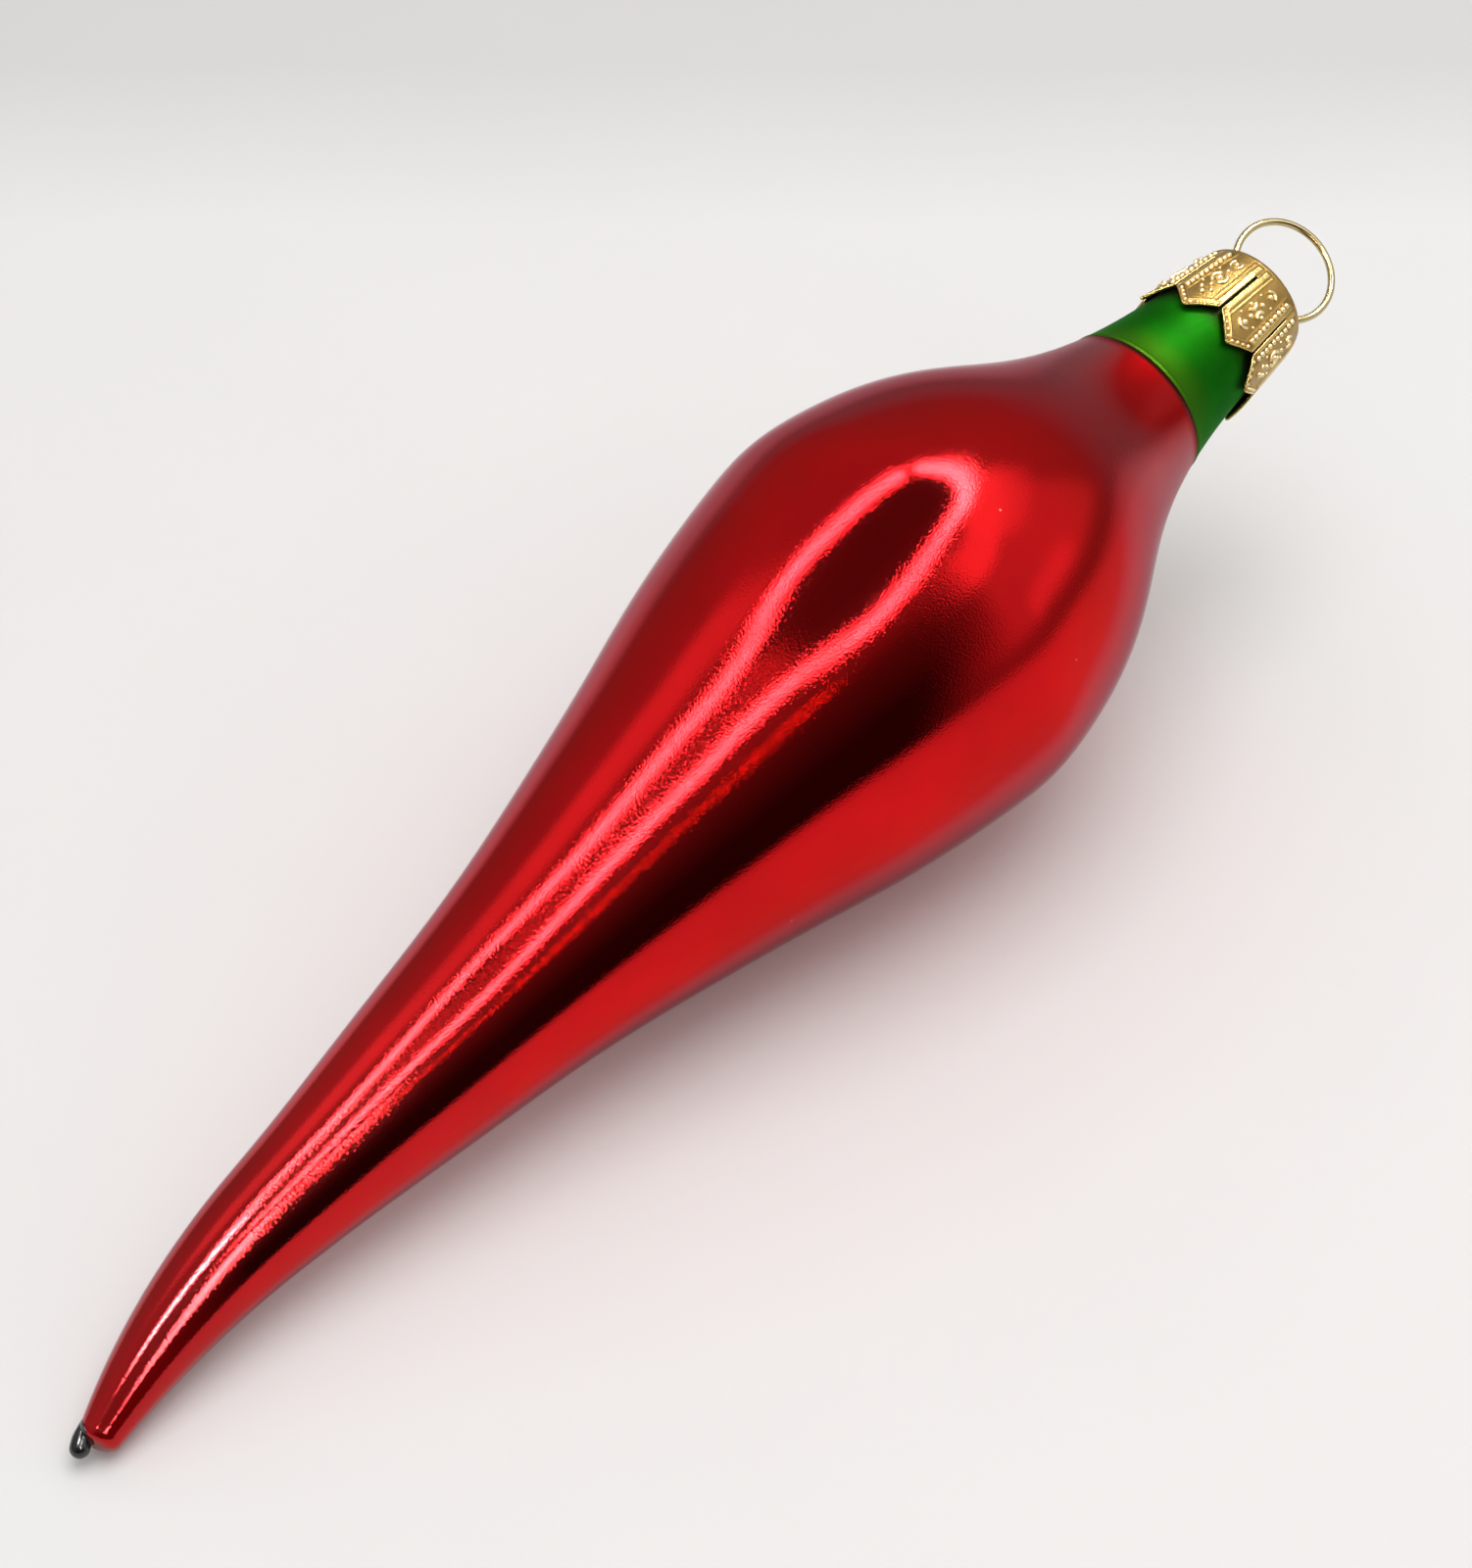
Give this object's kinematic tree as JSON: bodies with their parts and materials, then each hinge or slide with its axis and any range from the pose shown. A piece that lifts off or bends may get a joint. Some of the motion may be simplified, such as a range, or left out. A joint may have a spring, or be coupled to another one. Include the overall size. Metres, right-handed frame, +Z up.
{
  "type": "chili ornament",
  "caption": "Hollow blown glass ornament shaped as a red chili with a green neck, a stamped gold crown cap and a sprung wire hanging loop.",
  "frame": {"origin": "middle of the bounds at the floor that the ornament lies on", "axes": "+Z up from the floor, +X along the ornament towards the cap and the hanging loop"},
  "size_m": [0.1469, 0.0366, 0.0366],
  "materials": {
    "glass": "clear blown glass",
    "silver": "silvered inside",
    "red": "glossy red lacquer",
    "green": "satin green lacquer",
    "black": "glossy black",
    "cap_metal": "stamped gold",
    "wire": "bright gold"
  },
  "bodies": {
    "glass": {"glass_shell": "glass", "silver_lining": "silver", "red_lacquer": "red", "green_lacquer": "green", "tip_drop": "black"},
    "cap": {"crown_cap": "cap_metal"},
    "hanger": {"hanger_wire": "wire"}
  },
  "joints": [
    {"name": "cap_lift", "type": "slide", "parent": "glass", "child": "cap", "axis": [0.9874, -0.0311, 0.1553], "range_m": [0, 0.022]},
    {"name": "hanger_pull", "type": "slide", "parent": "cap", "child": "hanger", "axis": [0.9874, -0.0311, 0.1553], "range_m": [0, 0.007]}
  ]
}
